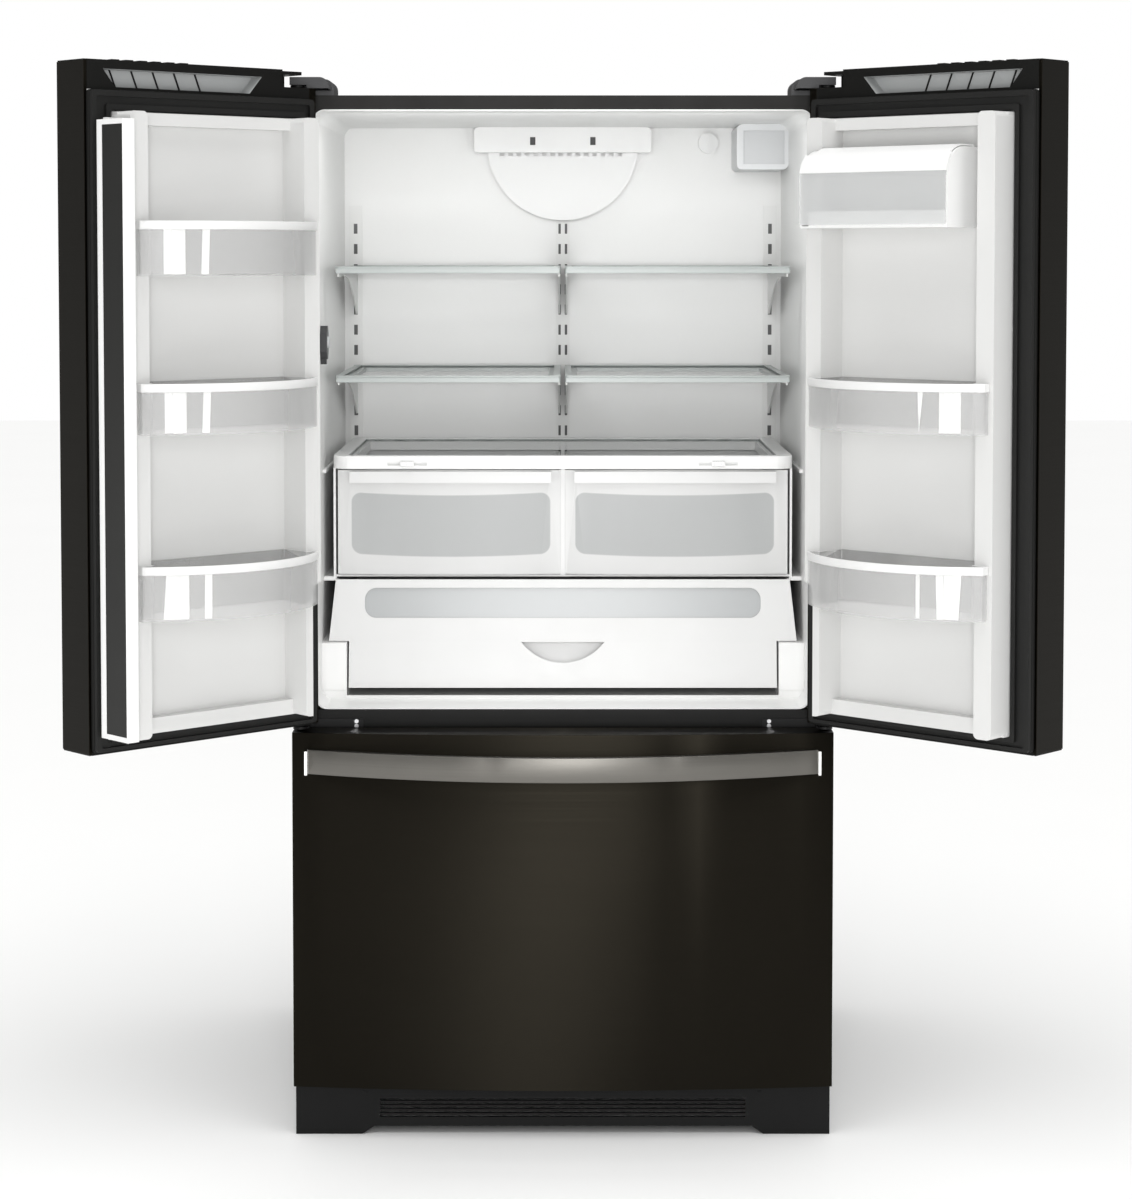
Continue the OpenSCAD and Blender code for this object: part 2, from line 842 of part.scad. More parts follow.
module mullion_bar() {
  color([0.9, 0.9, 0.9]) left() {
    difference() {
      up(732, 1690) mullion_section();
      bx(-10.5, -5, 25, 80, 740, 1682);
      zcyl(-24, 16, 731, 760, 3 + pin_fit);
      zcyl(-24, 16, 1662, 1691, 3 + pin_fit);
    }
    // dark plate that the gaskets seal on
    bx(-10.5, -9, 25.2, 79.8, 740.2, 1681.8);
  }
}
module mullion_mounts() {
  for (z = [[728.4, 731.6], [1690.4, 1693.6]]) {
    bx(-46, -24, 10, 22, z[0], z[1]);
    zcyl(-24, 16, z[0], z[1], 6);
  }
  zcyl(-24, 16, 731, 757, 3);
  zcyl(-24, 16, 1665, 1691, 3);
}
module left_door_skin() {
  color([0.22, 0.2, 0.18]) left() door_skin();
}
module left_door_caps() {
  color([0.07, 0.07, 0.07]) left() door_caps();
}
module left_door_foam() {
  color([0.9, 0.85, 0.6]) left() door_foam();
}
module left_door_liner() {
  color([0.93, 0.93, 0.93]) left() {
    door_liner();
    mullion_mounts();
  }
}
module left_door_gasket() {
  color([0.06, 0.06, 0.06]) left() door_gasket();
}
module left_door_bins() {
  color([0.88, 0.89, 0.9, 0.7]) left() {
    door_bin(bin_top - 86, bin_top, [[-87, 5], [-108, 3]]);
    door_bin(bin_top - 332, bin_top - 252, [[-87, 5], [-108, 3]]);
    door_bin(913, 999, [[-104, 9]]);
  }
}
module left_door_handle() {
  color([0.4, 0.39, 0.36]) left() door_handle();
}
module right_door_skin() {
  color([0.22, 0.2, 0.18]) right() door_skin();
}
module right_door_caps() {
  color([0.07, 0.07, 0.07]) right() door_caps();
}
module right_door_foam() {
  color([0.9, 0.85, 0.6]) right() door_foam();
}
module right_door_liner() {
  color([0.93, 0.93, 0.93]) right() door_liner();
}
module right_door_gasket() {
  color([0.06, 0.06, 0.06]) right() door_gasket();
}
module right_door_bins() {
  color([0.88, 0.89, 0.9, 0.7]) right() {
    door_bin(bin_top - 332, bin_top - 252, [[-87, 5], [-108, 3]]);
    door_bin(913, 999, [[-97, 6.5], [-140, 3]]);
  }
}
module right_door_handle() {
  color([0.4, 0.39, 0.36]) right() door_handle();
}
module dairy_side() {
  translate([-9, 1525]) square([49, 126]);
  translate([40, 1605]) circle(r = 46);
  translate([39, 1525]) square([47, 80]);
}
module dairy_box() {
  color([0.9, 0.9, 0.9]) right() difference() {
    union() {
      side(-379, -376) intersection() {
        dairy_side();
        translate([-20, 1500]) square([72, 200]);
      }
      side(-392.5, -389.5) intersection() {
        dairy_side();
        translate([49, 1500]) square([60, 200]);
      }
      bx(-392.5, -376, 49, 52, 1525, 1640);
      // fixed roof over the flank, where the lid has to clear the door edge
      side(-392.5, -376) intersection() {
        difference() {
          dairy_arc(46);
          dairy_arc(43);
        }
        translate([50, 1500]) square([22, 200]);
      }
      side(-111, -108) dairy_side();
      bx(-379, -108, -9, 86, 1525, 1528);
      bx(-392.5, -378, 49, 86, 1525, 1528);
      bx(-379, -108, -9, -6.5, 1525, 1640);
      bx(-376.5, -110.5, 83.5, 86, 1525, 1552);
    }
    xcyl(-380, -107, 9, 1645, 2.5 + pin_fit);
  }
}
module dairy_arc(r) {
  intersection() {
    translate([40, 1605]) circle(r = r);
    translate([40, 1605]) square([60, 60]);
  }
}
module lid_side() {
  difference() {
    union() {
      dairy_arc(50);
      translate([9, 1652.5]) square([31.5, 2.5]);
      translate([87.5, 1530]) square([2.5, 75.5]);
    }
    dairy_arc(47.2);
  }
}
module dairy_lid() {
  color([0.8, 0.85, 0.85, 0.5]) right() {
    side(-392.5, -108) intersection() {
      lid_side();
      translate([73, 1500]) square([60, 200]);
    }
    side(-375.5, -111.5) intersection() {
      lid_side();
      translate([0, 1500]) square([74, 200]);
    }
    for (x = [-375.5, -115.5]) {
      xcyl(x, x + 4, 9, 1645, 5);
      side(x, x + 4) translate([6.5, 1645]) square([5, 9]);
    }
    xcyl(-378.5, -372, 9, 1645, 2.5);
    xcyl(-115, -108.5, 9, 1645, 2.5);
  }
}

// ---- freezer drawer ----
module freezer_front_skin() {
  color([0.22, 0.2, 0.18]) at() difference() {
    up(85.5, drawer_z1) front_plan(-hw, hw, 0);
    up(85.5 + skin_t, drawer_z1 - skin_t) front_plan(-hw, hw, skin_t);
    bx(-hw + 12, hw - 12, door_b - 3, door_b + 1, 97, drawer_z1 - 12);
  }
}
module freezer_front_foam() {
  color([0.9, 0.85, 0.6]) at() difference() {
    up(85.5 + skin_t, drawer_z1 - skin_t) front_plan(-hw, hw, skin_t);
    bx(-hw + 12, hw - 12, -18, door_b + 1, 97, drawer_z1 - 12);
  }
}
module freezer_front_liner() {
  color([0.92, 0.92, 0.93]) at() {
    bx(-hw + 12.05, hw - 12.05, -18, door_b, 97.05, drawer_z1 - 12.05);
    difference() {
      fwd(-16, 6) rr(-398, 398, 142, 636, 12);
      fwd(-13, 7) rr(-386, 386, 154, 624, 8);
    }
  }
}
module freezer_gasket() {
  color([0.06, 0.06, 0.06]) at() difference() {
    union() {
      fwd(door_b, -8) rr(-440, 440, 99, 664, 8);
      fwd(-9, -0.4) rr(-438, 438, 101, 662, 7);
    }
    fwd(-20, 1) rr(-404, 404, 136, 642, 8);
    difference() {
      fwd(-6, 1) rr(-428, 428, 111, 654, 6);
      fwd(-7, 2) rr(-416, 416, 123, 644, 6);
    }
  }
}
module freezer_handle() {
  color([0.42, 0.41, 0.38]) at() difference() {
    union() {
      translate([0, door_f, 616]) linear_extrude(41) intersection() {
        freezer_bar();
        translate([-430, -90]) square([860, 130]);
      }
      both() bx(425.8, 430.5, -84, -60, 616, 657);
    }
    up(600, 670) front_plan(-hw, hw, 0);
  }
}
module freezer_bar() {
  sag = handle_out + 24;
  r = (430 * 430 + sag * sag) / (2 * sag);
  difference() {
    translate([0, -handle_out + r]) circle(r = r, $fn = 720);
    translate([0, -handle_out + r]) circle(r = r - 13, $fn = 720);
  }
}
module fixed_slides() {
  color([0.75, 0.76, 0.77]) at() both() {
    for (z = [330, 560]) {
      difference() {
        bx(403.5, ox, 20, z == 330 ? 600 : 612, z, z + 40);
        bx(402, 414.5, 19, 620, z + 3, z + 37);
      }
    }
  }
}
module drawer_slides() {
  color([0.7, 0.71, 0.72]) at() both() {
    bx(391, 413.5, 8, 560, 336, 364);
    bx(386, 391, 6, 20, 325, 375);
    bx(384, 391, 8, 480, 330, 350);
  }
}
module basket(x, ya, yb, z0, z1) {
  difference() {
    up(z0, z1) rr(-x, x, ya, yb, 16);
    up(z0 + 3, z1 + 1) rr(-x + bin_t, x - bin_t, ya + bin_t, yb - bin_t, 13.5);
    for (i = [-8:8]) {
      bx(i * 42 - 14, i * 42 + 14, ya - 1, yb + 1, z0 + 30, z0 + (z1 - z0) * 0.45);
    }
  }
}
module lower_basket() {
  color([0.88, 0.9, 0.92]) at() {
    basket(383.5, 12, 490, 130, 400);
  }
}
module upper_basket() {
  color([0.88, 0.9, 0.92]) at() {
    basket(388, 40, 610, 440, 600);
    both() bx(387, 413.5, 60, 600, 566, 594);
  }
}

cabinet_shell();
back_panel();
machine_cover();
cabinet_foam();
fridge_liner();
freezer_liner();
center_rail();
shelf_ladders();
upper_shelf_frames();
lower_shelf_frames();
shelf_glass();
crisper_frame();
air_cover();
filter_housing();
dispenser_housing();
upper_hinges();
hinge_covers();
center_hinges();
base_grille();
base_frame();
compressor();
condenser_coil();
fixed_slides();
humidity_slider_left();
humidity_slider_right();
crisper_left();
crisper_right();
pantry_drawer();
temperature_dial();
dispenser_button();
roller_left();
roller_right();
leveling_leg_left();
leveling_leg_right();
condenser_fan();
left_door_skin();
left_door_caps();
left_door_foam();
left_door_liner();
left_door_gasket();
left_door_bins();
left_door_handle();
mullion_bar();
right_door_skin();
right_door_caps();
right_door_foam();
right_door_liner();
right_door_gasket();
right_door_bins();
right_door_handle();
dairy_box();
dairy_lid();
freezer_front_skin();
freezer_front_foam();
freezer_front_liner();
freezer_gasket();
freezer_handle();
drawer_slides();
lower_basket();
upper_basket();
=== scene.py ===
import bpy
import math
from mathutils import Matrix, Vector

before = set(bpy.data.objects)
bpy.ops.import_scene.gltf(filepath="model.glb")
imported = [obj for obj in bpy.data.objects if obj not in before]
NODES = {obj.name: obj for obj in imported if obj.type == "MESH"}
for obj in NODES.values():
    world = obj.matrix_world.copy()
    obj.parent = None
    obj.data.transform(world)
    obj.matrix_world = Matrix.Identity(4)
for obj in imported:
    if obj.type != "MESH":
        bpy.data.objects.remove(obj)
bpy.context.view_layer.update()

# ---------------------------------------------------------------- driving dimensions
# In mm, as the CAD has them. Y is counted from the front plane of the cabinet.
MM = 0.001
OPEN_ANGLE = math.radians(137.3)
CABINET_DEPTH = 756
HINGE_X, HINGE_Y = 439.5, -47.0
# near the far corner of the mullion bar, from its door's hinge: across and back, door closed
MULLION_REACH, MULLION_BACK = 431, 125.5
# about the farthest that the open doors reach to the front, which sets the origin
REACH_Y = HINGE_Y - MULLION_REACH * math.sin(OPEN_ANGLE) + MULLION_BACK * math.cos(OPEN_ANGLE)
# where the front plane of the cabinet lies in the frame, whose origin is near the middle
FRONT_Y = -(CABINET_DEPTH + REACH_Y) / 2


def door_space(mirrored):
    """From closed-door coordinates in mm to the frame at rest, where the door stands open."""
    swing = (Matrix.Scale(MM, 4) @ Matrix.Translation((0, FRONT_Y, 0))
             @ Matrix.Translation((-HINGE_X, HINGE_Y, 0)) @ Matrix.Rotation(-OPEN_ANGLE, 4, "Z")
             @ Matrix.Translation((HINGE_X, -HINGE_Y, 0)))
    if mirrored:
        swing = Matrix.Scale(-1, 4, (1, 0, 0)) @ swing
    return swing


SPACE = {
    "cabinet": Matrix.Scale(MM, 4) @ Matrix.Translation((0, FRONT_Y, 0)),
    "left": door_space(False),
    "right": door_space(True),
}
SIDES = ("left", "right")


# ---------------------------------------------------------------- material helpers
def new_material(name):
    """An empty node tree with a Principled shader. Returns the material, its tree and the shader."""
    mat = bpy.data.materials.new(name)
    mat.use_nodes = True
    tree = mat.node_tree
    tree.nodes.clear()
    output = tree.nodes.new("ShaderNodeOutputMaterial")
    shader = tree.nodes.new("ShaderNodeBsdfPrincipled")
    tree.links.new(shader.outputs["BSDF"], output.inputs["Surface"])
    return mat, tree, shader


def noise(tree, scale, detail=3.0, stretch=(1, 1, 1), rough=0.5):
    """Noise over the object's own coordinates, scale in cells per metre."""
    coords = tree.nodes.new("ShaderNodeTexCoord")
    mapping = tree.nodes.new("ShaderNodeMapping")
    mapping.inputs["Scale"].default_value = stretch
    texture = tree.nodes.new("ShaderNodeTexNoise")
    texture.inputs["Scale"].default_value = scale
    texture.inputs["Detail"].default_value = detail
    texture.inputs["Roughness"].default_value = rough
    tree.links.new(coords.outputs["Object"], mapping.inputs["Vector"])
    tree.links.new(mapping.outputs["Vector"], texture.inputs["Vector"])
    return texture.outputs["Fac"]


def separate(tree, vector):
    """The three parts of a vector socket."""
    parts = tree.nodes.new("ShaderNodeSeparateXYZ")
    tree.links.new(vector, parts.inputs[0])
    return parts.outputs


def calc(tree, operation, *terms):
    """A Math node. Each term is a number or the socket that feeds it."""
    node = tree.nodes.new("ShaderNodeMath")
    node.operation = operation
    for socket, term in zip(node.inputs, terms):
        if isinstance(term, (int, float)):
            socket.default_value = term
        else:
            tree.links.new(term, socket)
    return node.outputs[0]


def ranged(tree, source, to_low, to_high, from_low=0.15, from_high=0.85):
    """Maps from_low..from_high, where noise mostly lies, to to_low..to_high."""
    node = tree.nodes.new("ShaderNodeMapRange")
    node.inputs["From Min"].default_value = from_low
    node.inputs["From Max"].default_value = from_high
    node.inputs["To Min"].default_value = to_low
    node.inputs["To Max"].default_value = to_high
    tree.links.new(source, node.inputs["Value"])
    return node.outputs["Result"]


def tint(tree, source, first, second, start=0.1, end=0.9):
    """Blends from the first colour to the second as the source goes from start to end."""
    ramp = tree.nodes.new("ShaderNodeValToRGB")
    for stop, position, colour in zip(ramp.color_ramp.elements, (start, end), (first, second)):
        stop.position = position
        stop.color = (*colour, 1)
    tree.links.new(source, ramp.inputs["Fac"])
    return ramp.outputs["Color"]


def relief(tree, shader, source, strength, distance):
    """Bump of the given depth, in metres."""
    bump = tree.nodes.new("ShaderNodeBump")
    bump.inputs["Strength"].default_value = strength
    bump.inputs["Distance"].default_value = distance
    tree.links.new(source, bump.inputs["Height"])
    tree.links.new(bump.outputs["Normal"], shader.inputs["Normal"])


def plastic(name, colour, rough, drift=0.03, grain=900, grain_depth=0.08, spec=0.5):
    """Moulded plastic or enamel: slow colour drift, patchy gloss and a fine grain."""
    mat, tree, shader = new_material(name)
    darker = tuple(c * (1 - drift) for c in colour)
    lighter = tuple(min(1, c * (1 + drift)) for c in colour)
    slow = noise(tree, 3.0, 2)
    tree.links.new(tint(tree, slow, darker, lighter), shader.inputs["Base Color"])
    patches = noise(tree, 22, 4)
    gloss = ranged(tree, patches, rough * 0.88, min(1, rough * 1.12))
    tree.links.new(gloss, shader.inputs["Roughness"])
    relief(tree, shader, noise(tree, grain, 2), grain_depth, 0.0004)
    shader.inputs["Specular IOR Level"].default_value = spec
    return mat


def steel(name, first, second, rough, metal=1.0, lines=(1.5, 1.5, 700), depth=0.12, aniso=0.0):
    """Brushed or plated metal: fine lines, a little colour drift and uneven gloss."""
    mat, tree, shader = new_material(name)
    slow = noise(tree, 2.2, 3)
    brush = noise(tree, 1.0, 5, lines, 0.7)
    mixed = calc(tree, "MULTIPLY_ADD", brush, 0.45, calc(tree, "MULTIPLY", slow, 0.55))
    tree.links.new(tint(tree, mixed, first, second, 0.3, 0.7), shader.inputs["Base Color"])
    shader.inputs["Metallic"].default_value = metal
    gloss = ranged(tree, brush, rough * 0.8, rough * 1.2)
    tree.links.new(gloss, shader.inputs["Roughness"])
    relief(tree, shader, brush, depth, 0.0003)
    if aniso:
        # a quarter turn draws the highlights out up and down, across the brushed lines
        shader.inputs["Anisotropic"].default_value = aniso
        shader.inputs["Anisotropic Rotation"].default_value = 0.25
    return mat


def frosted(name, colour, alpha, rough=0.28):
    """Translucent moulded plastic, see-through by mixing, with slow streaks from the mould."""
    mat, tree, shader = new_material(name)
    streaks = noise(tree, 5, 3, (1, 1, 0.6))
    darker = tuple(c * 0.96 for c in colour)
    tree.links.new(tint(tree, streaks, darker, colour), shader.inputs["Base Color"])
    shader.inputs["Alpha"].default_value = alpha
    shader.inputs["Roughness"].default_value = rough
    relief(tree, shader, noise(tree, 350, 2), 0.05, 0.0004)
    return mat


def crisper_material():
    """Frosted drawer front with a whiter border around the rounded field in its middle."""
    # middle of the field from the refrigerator's middle and from the floor, in metres
    middle_x, middle_z = 0.195, 1.0105
    # half sizes of the field inside its corner radius
    half_x, half_z, corner = 0.156, 0.0365, 0.016
    # its upper and lower edges rise towards both ends by this times the square of the distance
    rise = 0.175
    # the field's edge is drawn this soft
    edge = 0.002
    field_colour, border_colour = (0.52, 0.53, 0.53), (0.72, 0.72, 0.715)
    field_alpha, border_alpha = 0.85, 0.97

    mat, tree, shader = new_material("crisper_frosted")
    coords = tree.nodes.new("ShaderNodeTexCoord")
    place = separate(tree, coords.outputs["Object"])
    dx = calc(tree, "SUBTRACT", calc(tree, "ABSOLUTE", place["X"]), middle_x)
    arched = calc(tree, "MULTIPLY_ADD", calc(tree, "MULTIPLY", dx, dx), -rise, place["Z"])
    dz = calc(tree, "SUBTRACT", arched, middle_z)
    past_x = calc(tree, "MAXIMUM", calc(tree, "SUBTRACT", calc(tree, "ABSOLUTE", dx), half_x), 0.0)
    past_z = calc(tree, "MAXIMUM", calc(tree, "SUBTRACT", calc(tree, "ABSOLUTE", dz), half_z), 0.0)
    square_x = calc(tree, "MULTIPLY", past_x, past_x)
    square_z = calc(tree, "MULTIPLY", past_z, past_z)
    away = calc(tree, "SQRT", calc(tree, "ADD", square_x, square_z))
    border = ranged(tree, calc(tree, "SUBTRACT", away, corner), 0.0, 1.0, 0.0, edge)
    colour = tint(tree, border, field_colour, border_colour, 0.0, 1.0)
    tree.links.new(colour, shader.inputs["Base Color"])
    alpha = ranged(tree, border, field_alpha, border_alpha, 0.0, 1.0)
    tree.links.new(alpha, shader.inputs["Alpha"])
    shader.inputs["Roughness"].default_value = 0.3
    relief(tree, shader, noise(tree, 300, 2), 0.05, 0.0004)
    return mat


def glass_material():
    """Clear shelf glass, greener and denser where an edge is seen than on its flat faces."""
    edge_colour, face_colour = (0.25, 0.33, 0.31), (0.86, 0.92, 0.91)
    edge_alpha, face_alpha = 0.7, 0.09
    # upward part of a face's normal: it is an edge below the first, and flat above the second
    steep, flat = 0.3, 0.8

    mat, tree, shader = new_material("shelf_glass")
    geometry = tree.nodes.new("ShaderNodeNewGeometry")
    upward = calc(tree, "ABSOLUTE", separate(tree, geometry.outputs["Normal"])["Z"])
    colour = tint(tree, upward, edge_colour, face_colour, steep, flat)
    tree.links.new(colour, shader.inputs["Base Color"])
    alpha = ranged(tree, upward, edge_alpha, face_alpha, steep, flat)
    tree.links.new(alpha, shader.inputs["Alpha"])
    tree.links.new(ranged(tree, noise(tree, 60, 2), 0.03, 0.07), shader.inputs["Roughness"])
    shader.inputs["IOR"].default_value = 1.5
    return mat


# ---------------------------------------------------------------- materials
# whites, greys and foam: name, colour, roughness, drift, grain, grain depth
WHITE = plastic("liner_white", (0.85, 0.85, 0.842), 0.34, 0.008, 260, 0.02)
PART_WHITE = plastic("plastic_white", (0.83, 0.83, 0.825), 0.32, 0.01, 420, 0.03)
# the doors' liners are the cabinet liner's white painted darker: painted shade on the open doors
SHADED_DOOR_WHITE = plastic("door_liner_white_painted_shade", (0.66, 0.66, 0.652), 0.38, 0.008, 260, 0.02)
# the pantry drawer's white plastic painted darker than the other white parts: painted shade of its
# scoop
SHADED_PANTRY_WHITE = plastic("pantry_white_painted_shade", (0.68, 0.68, 0.675), 0.34, 0.01, 420, 0.03)
TRACK_WHITE = plastic("ladder_white", (0.82, 0.82, 0.81), 0.4, 0.02, 700, 0.05)
RIM = plastic("bin_rim", (0.76, 0.76, 0.755), 0.36, 0.01, 420, 0.03)
RIB = plastic("bin_rib", (0.96, 0.96, 0.955), 0.4, 0.008, 420, 0.03)
PALE_GREY = plastic("pale_grey_plastic", (0.72, 0.73, 0.74), 0.4, 0.03, 500, 0.05)
GREY = plastic("grey_plastic", (0.6, 0.61, 0.62), 0.42, 0.03, 700, 0.08)
POCKET_GREY = plastic("pocket_grey", (0.42, 0.43, 0.43), 0.5, 0.05, 700, 0.1, spec=0.3)
SHELF_TRIM = plastic("shelf_trim", (0.4, 0.43, 0.42), 0.3, 0.03, 400, 0.04)
# dark grey for the floors and walls of slots: painted shade in the recesses, not the plastic's own
# colour
PAINTED_SLOT_SHADE = plastic("painted_slot_shade", (0.16, 0.16, 0.16), 0.7, 0.1, 500, 0.1, spec=0.2)
FOAM = plastic("foam", (0.8, 0.7, 0.4), 0.9, 0.1, 300, 0.6, spec=0.1)
# darks
NYLON = plastic("nylon_dark", (0.08, 0.08, 0.08), 0.5, 0.08, 800, 0.15)
DARK = plastic("dark_grey_plastic", (0.05, 0.05, 0.052), 0.45, 0.08, 1200, 0.2, spec=0.3)
MULLION_PLATE = plastic("mullion_plate", (0.014, 0.014, 0.013), 0.38, 0.08, 700, 0.08, spec=0.25)
COMPRESSOR = plastic("compressor_enamel", (0.012, 0.012, 0.013), 0.3, 0.1, 300, 0.15)
GASKET = plastic("gasket_vinyl", (0.011, 0.011, 0.0105), 0.5, 0.15, 500, 0.12, spec=0.25)
WRAPPER = plastic("wrapper_enamel", (0.009, 0.0085, 0.0075), 0.45, 0.08, 480, 0.3, spec=0.2)
BLACK = plastic("black_plastic", (0.006, 0.006, 0.0055), 0.45, 0.12, 1100, 0.18, spec=0.15)
HINGE = plastic("hinge_enamel", (0.006, 0.006, 0.006), 0.4, 0.1, 900, 0.1, spec=0.2)
GRILLE = plastic("grille_black", (0.005, 0.005, 0.005), 0.5, 0.15, 1100, 0.2, spec=0.15)
RAIL = plastic("rail_enamel", (0.0035, 0.0035, 0.003), 0.34, 0.1, 700, 0.06, spec=0.15)
# metals
ZINC = steel("zinc", (0.5, 0.5, 0.51), (0.72, 0.72, 0.73), 0.3, 1.0, (30, 30, 30), 0.1)
GALVANISED = steel("galvanised", (0.42, 0.43, 0.44), (0.6, 0.61, 0.62), 0.45, 0.9, (12, 12, 12), 0.08)
SKIN = steel("black_stainless", (0.0128, 0.0112, 0.0082), (0.0165, 0.0144, 0.0108), 0.43, 0.97,
             depth=0.03, aniso=0.95)
BAR = steel("handle_stainless", (0.14, 0.134, 0.122), (0.17, 0.163, 0.15), 0.36, 0.97)
POLISHED = steel("handle_end", (0.75, 0.75, 0.74), (0.85, 0.85, 0.84), 0.18, 1.0, (200, 200, 8), 0.03)
# see-through: name, colour, alpha, roughness
BIN = frosted("bin_translucent", (0.7, 0.7, 0.695), 0.32)
LID = frosted("lid_clear", (0.78, 0.79, 0.79), 0.4, 0.2)
BASKET = frosted("basket_white", (0.9, 0.91, 0.92), 0.9, 0.35)
WINDOW = frosted("pantry_window", (0.5, 0.515, 0.52), 0.8, 0.2)
CRISPER = crisper_material()
GLASS = glass_material()

LOOK = {
    "cabinet_shell": WRAPPER, "back_panel": GALVANISED, "machine_cover": BLACK,
    "cabinet_foam": FOAM, "fridge_liner": WHITE, "freezer_liner": WHITE, "center_rail": RAIL,
    "shelf_ladders": TRACK_WHITE, "upper_shelf_frames": SHELF_TRIM,
    "lower_shelf_frames": SHELF_TRIM, "shelf_glass": GLASS, "crisper_frame": PART_WHITE,
    "air_cover": PART_WHITE, "filter_housing": PALE_GREY, "dispenser_housing": DARK,
    "upper_hinges": HINGE, "hinge_covers": DARK, "center_hinges": HINGE, "base_grille": GRILLE,
    "base_frame": GALVANISED, "compressor": COMPRESSOR, "condenser_coil": COMPRESSOR,
    "fixed_slides": ZINC, "humidity_slider_left": PART_WHITE,
    "humidity_slider_right": PART_WHITE, "crisper_left": CRISPER, "crisper_right": CRISPER,
    "pantry_drawer": SHADED_PANTRY_WHITE, "temperature_dial": PART_WHITE, "dispenser_button": GREY,
    "roller_left": NYLON, "roller_right": NYLON, "leveling_leg_left": ZINC,
    "leveling_leg_right": ZINC, "condenser_fan": BLACK, "mullion_bar": PART_WHITE,
    "dairy_box": PART_WHITE, "dairy_lid": LID, "freezer_front_skin": SKIN,
    "freezer_front_foam": FOAM, "freezer_front_liner": WHITE, "freezer_gasket": GASKET,
    "freezer_handle": BAR, "drawer_slides": ZINC, "lower_basket": BASKET,
    "upper_basket": BASKET,
}
for side in SIDES:
    LOOK.update({
        f"{side}_door_skin": SKIN, f"{side}_door_caps": BLACK, f"{side}_door_foam": FOAM,
        f"{side}_door_liner": SHADED_DOOR_WHITE, f"{side}_door_gasket": GASKET,
        f"{side}_door_bins": BIN, f"{side}_door_handle": BAR,
    })

# width in mm of the rounded edges of each node that shows them
EDGE = {
    "fridge_liner": 4, "center_rail": 2, "cabinet_shell": 0.6, "mullion_bar": 1.2,
    "hinge_covers": 3, "base_grille": 1, "pantry_drawer": 2, "crisper_frame": 1.5,
    "air_cover": 3, "filter_housing": 4, "freezer_handle": 1.6, "crisper_left": 1.2,
    "crisper_right": 1.2, "dairy_box": 1.2, "freezer_gasket": 2, "temperature_dial": 1.2,
    "dispenser_housing": 2.5, "freezer_front_skin": 0.6, "upper_hinges": 0.8,
    "center_hinges": 0.6, "humidity_slider_left": 0.8, "humidity_slider_right": 0.8,
    "upper_shelf_frames": 1, "lower_shelf_frames": 1, "shelf_glass": 0.6, "compressor": 2,
    "back_panel": 0.8,
}
for side in SIDES:
    EDGE.update({
        f"{side}_door_liner": 5, f"{side}_door_bins": 1.2, f"{side}_door_handle": 1.6,
        f"{side}_door_caps": 1.4, f"{side}_door_gasket": 2, f"{side}_door_skin": 0.6,
    })


def soften(piece, width):
    """Rounds the sharp edges, with the facets' shared corners joined first."""
    weld = piece.modifiers.new("weld", "WELD")
    weld.merge_threshold = 0.00002
    bevel = piece.modifiers.new("bevel", "BEVEL")
    bevel.width = width * MM
    bevel.segments = 3
    bevel.limit_method = "ANGLE"
    bevel.angle_limit = math.radians(38)
    bevel.use_clamp_overlap = True
    bevel.harden_normals = True


for name, piece in NODES.items():
    piece.data.materials.clear()
    piece.data.materials.append(LOOK[name])
    if name in EDGE:
        soften(piece, EDGE[name])


# ---------------------------------------------------------------- finishes on parts of a node
def paint(node, material, test, space="cabinet"):
    """Gives another finish to the faces whose middle passes the test, in mm of that space."""
    mesh = NODES[node].data
    mesh.materials.append(material)
    slot = len(mesh.materials) - 1
    to_space = SPACE[space].inverted()
    for face in mesh.polygons:
        if test(*(to_space @ face.center)):
            face.material_index = slot


def near(value, places, reach):
    """True if the value lies within reach of one of the places."""
    return any(abs(value - place) < reach for place in places)


# Places and sizes in mm. The boxes in the tests are a little larger than the faces they take.
SHELF_UNDERSIDES = {"upper_shelf_frames": 1450, "lower_shelf_frames": 1260}
BIN_RIMS = (1535, 1283, 999)
RIM_HEIGHT = 13
# the dairy lid is white above this and clear below
LID_STRIP_Z = 1612
# only the end faces of the door handles lie below the first or above the second
HANDLE_ENDS_Z = (832, 1638)
# the drawer's handle ends in polished plates beyond this, each side of the middle
HANDLE_HALF = 425.7
# slots in the tracks on the back wall: middles of their columns
SLOT_COLUMNS = (-396, -6.1, 6.1, 396)
# slots in the air cover, and screws of the centre hinges, each side of the middle
AIR_SLOT_X, HINGE_SCREW_X = 57, 349
# water inlet in the machine cover
INLET_X, INLET_Z = -410, 220
# front curve of the door bins in plan: middle and the radii that its ribs lie between
BIN_MIDDLE, RIB_RADII = (-222.5, -124), (247, 249.9)
# ribs inside the bin fronts: middle and half width
BIN_RIBS = ((-87, 5), (-108, 3), (-104, 9), (-97, 6.5), (-140, 3))
# the pantry drawer's front leans back from its foot
PANTRY_FOOT_Y, PANTRY_FOOT_Z = 110, 733
PANTRY_LEAN = math.tan(math.radians(9.73))


def on_mullion_plate(x, y, z):
    return x > -10.6 and 24.9 < y < 80.1 and 739 < z < 1683


def on_hinge_screw(x, y, z):
    return y < -3.05 and near(abs(x), (HINGE_SCREW_X,), 6)


def in_air_slot(x, y, z):
    return near(abs(x), (AIR_SLOT_X,), 5.2) and 605 < y < 617 and 1689 < z < 1706


def on_filter_panel(x, y, z):
    return 334.5 < x < 409.5 and y < 485 and 1650.5 < z < 1711.5


def in_track_slot(x, y, z):
    return near(x, SLOT_COLUMNS, 3.6) and 646.2 < y < 649.5 and 1090 < z < 1550


def on_bin_rim(x, y, z):
    return any(rim - RIM_HEIGHT - 0.2 < z < rim + 1 for rim in BIN_RIMS)


